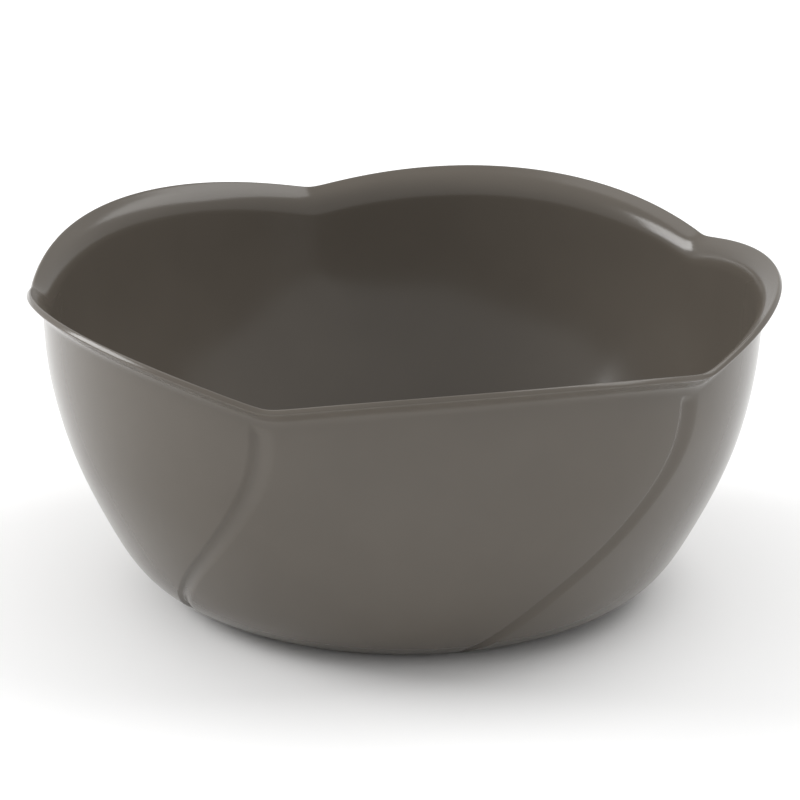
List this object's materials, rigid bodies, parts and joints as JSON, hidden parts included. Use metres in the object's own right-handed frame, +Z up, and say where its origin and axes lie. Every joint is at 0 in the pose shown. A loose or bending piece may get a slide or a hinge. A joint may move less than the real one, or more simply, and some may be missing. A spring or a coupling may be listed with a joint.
{
  "type": "deep round bowl",
  "caption": "Deep round plastic bowl with a flared lip, its rim and outside shaped as overlapping petals that swirl down to a flat foot.",
  "frame": {"origin": "middle of the flat face that the bowl rests on", "axes": "+Z up along the bowl's axis; -Y towards the front, where one petal faces a little to the right"},
  "size_m": [0.253, 0.2528, 0.1093],
  "materials": {
    "bowl": "warm dark grey moulded plastic, satin"
  },
  "bodies": {
    "root": {"bowl": "bowl"}
  },
  "joints": []
}
